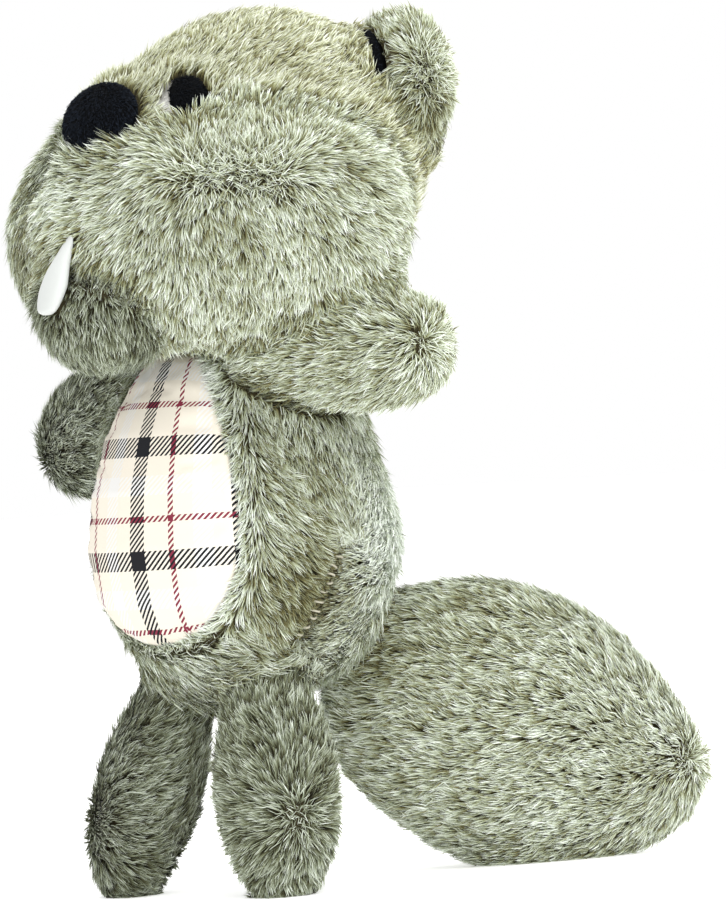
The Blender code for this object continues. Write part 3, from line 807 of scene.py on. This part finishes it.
class OBJECT_OT_beaver_belly(bpy.types.Operator):
    """Add the woven check cloth on the belly"""
    bl_idname = "object.beaver_belly"
    bl_label = "Belly"

    def execute(self, context):
        look = context.scene.beaver_belly
        points, spans, rings, spokes = self.panel_grid()
        thing = self.grid_object(points, rings, spokes)
        mesh = thing.data
        layer = mesh.uv_layers.new(name="weave")
        low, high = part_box("torso")
        radius = (high.x - low.x) / 2
        flat = [(math.atan2(p[0] - (low.x + high.x) / 2, (low.y + high.y) / 2 - p[1]) * radius / UV_UNIT,
                 p[2] / UV_UNIT) for p in points]
        for loop in mesh.loops:
            layer.data[loop.index].uv = flat[loop.vertex_index]
        self.puff(context, thing, spans)
        self.tuck(thing, spans)
        dress(thing, self.cloth(look), replaced=("belly_panel",))
        return {"FINISHED"}

    def panel_grid(self):
        """Points on the panel's front in rings about its middle, each with how far out it lies."""
        tree = node_tree(["belly_panel"])
        low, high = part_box("belly_panel")
        middle = ((low.x + high.x) / 2, (low.z + high.z) / 2)
        rings, spokes = CLOTH_RINGS, CLOTH_SPOKES

        def hit(angle, reach):
            start = Vector((middle[0] + math.sin(angle) * reach, low.y - 0.1,
                            middle[1] + math.cos(angle) * reach))
            return tree.ray_cast(start, Vector((0.0, 1.0, 0.0)))[0]

        rims = []
        for k in range(spokes):
            angle = 2.0 * math.pi * k / spokes
            inside, outside = 0.0, high.z - low.z
            for _ in range(16):
                half = (inside + outside) / 2
                inside, outside = (half, outside) if hit(angle, half) else (inside, half)
            rims.append(inside * 0.998)
        points, spans = [tuple(hit(0.0, 0.0))], [0.0]
        for ring in range(1, rings + 1):
            for k, rim in enumerate(rims):
                points.append(tuple(hit(2.0 * math.pi * k / spokes, rim * ring / rings)))
                spans.append(ring / rings)
        return points, np.array(spans), rings, spokes

    def grid_object(self, points, rings, spokes):
        """The cloth as one open sheet of quads with its front outwards."""
        bm = bmesh.new()
        verts = [bm.verts.new(p) for p in points]
        for k in range(spokes):
            after = (k + 1) % spokes
            bm.faces.new((verts[0], verts[1 + k], verts[1 + after]))
            for ring in range(rings - 1):
                base = 1 + ring * spokes
                bm.faces.new((verts[base + k], verts[base + spokes + k], verts[base + spokes + after],
                              verts[base + after]))
        bm.normal_update()
        if sum(face.normal.y for face in bm.faces) > 0.0:
            bmesh.ops.reverse_faces(bm, faces=bm.faces)
        return link_bmesh("belly_cloth", bm)

    def puff(self, context, thing, spans):
        """Lets the cloth swell against its sewn edge, ten times as large as life for the solver."""
        rest = np.array([tuple(v.co) for v in thing.data.vertices])
        thing.data.vertices.foreach_set("co", (rest * SIM_SCALE).ravel())
        sewn = thing.vertex_groups.new(name="sewn")
        sewn.add([int(k) for k in np.flatnonzero(spans > 0.93)], 1.0, "REPLACE")
        cloth = thing.modifiers.new("cloth", "CLOTH")
        cloth.settings.quality = 6
        cloth.settings.vertex_group_mass = "sewn"
        cloth.settings.shrink_min = -0.035
        cloth.settings.use_pressure = True
        cloth.settings.uniform_pressure_force = 2.0
        cloth.settings.effector_weights.gravity = 0.0
        for moment in range(1, CLOTH_STEPS + 1):
            context.scene.frame_set(moment)
        apply_modifiers(thing)
        context.scene.frame_set(1)
        moved = np.array([tuple(v.co) for v in thing.data.vertices]) / SIM_SCALE - rest
        far = np.linalg.norm(moved, axis=1, keepdims=True)
        moved *= np.minimum(1.0, SWELL_CAP / np.maximum(far, 1e-9))
        thing.data.vertices.foreach_set("co", (rest + moved).ravel())
        thing.data.update()

    def tuck(self, thing, spans):
        """Turns the cloth's edge in under the fur and gives the cloth its thickness."""
        points, normals, _, _ = mesh_arrays(thing.data)
        points = points - normals * (EDGE_TUCK * smoothstep(0.95, 1.0, spans))[:, None]
        thing.data.vertices.foreach_set("co", points.ravel())
        thing.data.update()
        thick = thing.modifiers.new("thick", "SOLIDIFY")
        thick.thickness = CLOTH_THICK
        thick.offset = -1.0
        apply_modifiers(thing)
        thing.data.shade_smooth()

    def cloth(self, look):
        """Cotton twill in a generic check, matt: bands cross in warp and weft, and diagonal ribs mix them."""
        material, tree, shader = new_material("cotton_twill_check")
        place = add_node(tree, "ShaderNodeUVMap", {"uv_map": "weave"})
        grow = add_node(tree, "ShaderNodeVectorMath", {"operation": "SCALE"},
                        links={0: place.outputs["UV"]}, inputs={"Scale": UV_UNIT / look.repeat})
        parts = add_node(tree, "ShaderNodeSeparateXYZ", links={"Vector": grow.outputs["Vector"]})
        bands = []
        for key in ("X", "Y"):
            fraction = add_node(tree, "ShaderNodeMath", {"operation": "FRACT"}, links={0: parts.outputs[key]})
            band = ramp(tree, fraction.outputs["Value"], [
                (0.0, linear(look.charcoal)), (0.17, linear(look.cream)), (0.42, linear(look.wine)),
                (0.475, linear(look.cream)), (0.66, linear(look.white)), (0.83, linear(look.cream))])
            band.color_ramp.interpolation = "CONSTANT"
            bands.append(band)
        rise = add_node(tree, "ShaderNodeMath", {"operation": "SUBTRACT"},
                        links={0: parts.outputs["X"], 1: parts.outputs["Y"]})
        ribs = add_node(tree, "ShaderNodeMath", {"operation": "MULTIPLY"}, links={0: rise.outputs["Value"]},
                        inputs={1: look.repeat / (look.twill * math.sqrt(2.0))})
        rib = add_node(tree, "ShaderNodeMath", {"operation": "FRACT"}, links={0: ribs.outputs["Value"]})
        over = add_node(tree, "ShaderNodeMath", {"operation": "GREATER_THAN"},
                        links={0: rib.outputs["Value"]}, inputs={1: 0.5})
        mixed = add_node(tree, "ShaderNodeMix", {"data_type": "RGBA"}, links={
            "Factor": over.outputs["Value"], "A": bands[0].outputs["Color"], "B": bands[1].outputs["Color"]})
        tree.links.new(mixed.outputs[2], shader.inputs["Base Color"])
        shader.inputs["Roughness"].default_value = 0.85
        shader.inputs["Specular IOR Level"].default_value = 0.2
        return material


class OBJECT_OT_beaver_stitches(bpy.types.Operator):
    """Add the ladder stitches that close the side seam"""
    bl_idname = "object.beaver_stitches"
    bl_label = "Stitches"

    def execute(self, context):
        cover = bpy.data.objects["torso_cover"]
        points, _, tris, _ = mesh_arrays(cover.data)
        tree = BVHTree.FromPolygons([Vector(p) for p in points], [list(map(int, t)) for t in tris])
        knots = [Vector(p) * MM for p in SIDE_SEAM]
        curve = bpy.data.curves.new("stitches", "CURVE")
        curve.dimensions = "3D"
        curve.bevel_depth = STITCH_THICK / 2
        curve.bevel_resolution = 2
        travelled = 0.0
        rng = np.random.default_rng(307)
        for a, b in zip(knots[:-1], knots[1:]):
            along = (b - a).normalized()
            while travelled < (b - a).length:
                self.add_stitch(curve, tree, a + along * travelled, along, rng.uniform(0.75, 1.35, 3))
                travelled += STITCH_GAP
            travelled -= (b - a).length
        thing = bpy.data.objects.new("side_seam_stitches", curve)
        context.scene.collection.objects.link(thing)
        mesh = bpy.data.meshes.new_from_object(thing.evaluated_get(context.evaluated_depsgraph_get()))
        bpy.data.objects.remove(thing)
        thread = link_mesh("side_seam_stitches", mesh)
        # Waxed cotton thread: dull, and a little paler than the pile, so the ladder of stitches reads
        material, _, shader = new_material("waxed_cotton_thread")
        shader.inputs["Base Color"].default_value = linear("#aaa693")
        shader.inputs["Roughness"].default_value = 0.7
        dress(thread, material)
        return {"FINISHED"}

    def add_stitch(self, curve, tree, place, along, vary):
        """One stitch across the seam: up out of the cloth, over and down again."""
        spot, normal, _, _ = tree.find_nearest(place)
        across = along.cross(normal).normalized()
        spline = curve.splines.new("POLY")
        spline.points.add(4)
        for k, (side, lift) in enumerate(((-1.0, -0.3), (-0.7, 0.5), (0.0, 0.8), (0.7, 0.5), (1.0, -0.3))):
            at = (spot + across * (side * STITCH_REACH * vary[0]) + normal * (lift * STITCH_REACH * vary[1])
                  + along * (side * 0.0015 * (vary[2] - 1.0)))
            spline.points[k].co = (*at, 1.0)


class OBJECT_OT_beaver_stage(bpy.types.Operator):
    """Add the floor, the lamps and the camera"""
    bl_idname = "object.beaver_stage"
    bl_label = "Stage"

    def execute(self, context):
        look = context.scene.beaver_stage
        bm = bmesh.new()
        bmesh.ops.create_grid(bm, x_segments=1, y_segments=1, size=6.0)
        floor = link_bmesh("floor", bm)
        # Matt studio board: its own faint glow keeps it near white, and it still takes the toy's shadow
        material, _, shader = new_material("matt_pale_floor")
        shader.inputs["Base Color"].default_value = linear(look.floor)
        shader.inputs["Roughness"].default_value = 0.9
        shader.inputs["Emission Color"].default_value = linear("#ffffff")
        shader.inputs["Emission Strength"].default_value = look.glow
        floor.data.materials.append(material)
        self.add_lamp("key", (1.1, -1.3, 1.25), 1.4, look.key)
        self.add_lamp("fill", (1.6, 0.6, 0.7), 1.2, look.fill)
        self.add_lamp("top", (0.0, 0.1, 1.7), 1.2, look.top)
        self.add_backdrop(context, look)
        self.add_camera(context)
        return {"FINISHED"}

    def add_lamp(self, name, place, size, power):
        """A large soft lamp aimed at the toy's middle."""
        lamp = bpy.data.lights.new(name, "AREA")
        lamp.energy = power
        lamp.size = size
        thing = bpy.data.objects.new(name, lamp)
        thing.location = place
        thing.rotation_euler = (Vector(place) - Vector(VIEW_TARGET)).to_track_quat("Z", "Y").to_euler()
        bpy.context.scene.collection.objects.link(thing)

    def add_backdrop(self, context, look):
        """A world that lights softly and shows plain white."""
        world = bpy.data.worlds.new("studio")
        context.scene.world = world
        world.use_nodes = True
        tree = world.node_tree
        path = add_node(tree, "ShaderNodeLightPath")
        seen = add_node(tree, "ShaderNodeMath", {"operation": "MAXIMUM"},
                        links={0: path.outputs["Is Camera Ray"], 1: path.outputs["Is Glossy Ray"]})
        shown = add_node(tree, "ShaderNodeMath", {"operation": "MAXIMUM"},
                         links={0: seen.outputs["Value"], 1: path.outputs["Is Transmission Ray"]})
        strength = add_node(tree, "ShaderNodeMapRange", links={"Value": shown.outputs["Value"]},
                            inputs={"To Min": look.ambient, "To Max": 1.0})
        background = tree.nodes["Background"]
        background.inputs["Color"].default_value = linear("#ffffff")
        tree.links.new(strength.outputs["Result"], background.inputs["Strength"])

    def add_camera(self, context):
        """The camera where the photograph was taken from, rolled as it was."""
        sideways = Vector((math.cos(VIEW_AZIMUTH), math.sin(VIEW_AZIMUTH), 0.0))
        back = Vector((math.sin(VIEW_AZIMUTH) * math.cos(VIEW_ELEVATION),
                       -math.cos(VIEW_AZIMUTH) * math.cos(VIEW_ELEVATION), math.sin(VIEW_ELEVATION)))
        upward = back.cross(sideways)
        right = sideways * math.cos(VIEW_ROLL) - upward * math.sin(VIEW_ROLL)
        top = sideways * math.sin(VIEW_ROLL) + upward * math.cos(VIEW_ROLL)
        data = bpy.data.cameras.new("photo_camera")
        data.sensor_fit = "VERTICAL"
        data.sensor_height = 36.0
        data.lens = 36.0 * VIEW_DISTANCE / (PHOTO_PIXELS[1] * PIXEL)
        data.clip_end = 50.0
        camera = bpy.data.objects.new("photo_camera", data)
        turn = Matrix((right, top, back)).transposed().to_4x4()
        camera.matrix_world = Matrix.Translation(Vector(VIEW_TARGET) + back * VIEW_DISTANCE) @ turn
        context.scene.collection.objects.link(camera)
        context.scene.camera = camera


class VIEW3D_PT_beaver(bpy.types.Panel):
    """Lists the steps that dress the toy"""
    bl_label = "Plush Beaver"
    bl_idname = "VIEW3D_PT_beaver"
    bl_space_type = "VIEW_3D"
    bl_region_type = "UI"
    bl_category = "Beaver"

    def draw(self, context):
        for step in STEPS:
            self.layout.operator(step.bl_idname)
        for group in ("beaver_fur", "beaver_face", "beaver_belly", "beaver_stage"):
            settings = getattr(context.scene, group)
            for key in settings.__annotations__:
                self.layout.prop(settings, key)


GROUPS = {"beaver_fur": BeaverFur, "beaver_face": BeaverFace, "beaver_belly": BeaverBelly,
          "beaver_stage": BeaverStage}
STEPS = (OBJECT_OT_beaver_stage, OBJECT_OT_beaver_belly, OBJECT_OT_beaver_face, OBJECT_OT_beaver_fur,
         OBJECT_OT_beaver_stitches)


def register():
    """Adds the settings, the operators and the panel."""
    for group in GROUPS.values():
        bpy.utils.register_class(group)
    for step in STEPS:
        bpy.utils.register_class(step)
    bpy.utils.register_class(VIEW3D_PT_beaver)
    for name, group in GROUPS.items():
        setattr(bpy.types.Scene, name, PointerProperty(type=group))


def unregister():
    """Takes the settings, the operators and the panel away."""
    for name in GROUPS:
        delattr(bpy.types.Scene, name)
    bpy.utils.unregister_class(VIEW3D_PT_beaver)
    for step in reversed(STEPS):
        bpy.utils.unregister_class(step)
    for group in reversed(list(GROUPS.values())):
        bpy.utils.unregister_class(group)


def main():
    """Registers the add-on and dresses the toy."""
    register()
    bpy.ops.object.beaver_stage()
    bpy.ops.object.beaver_belly()
    bpy.ops.object.beaver_face()
    bpy.ops.object.beaver_fur()
    bpy.ops.object.beaver_stitches()
    bpy.context.scene.view_settings.view_transform = "Standard"


if __name__ == "__main__":
    main()
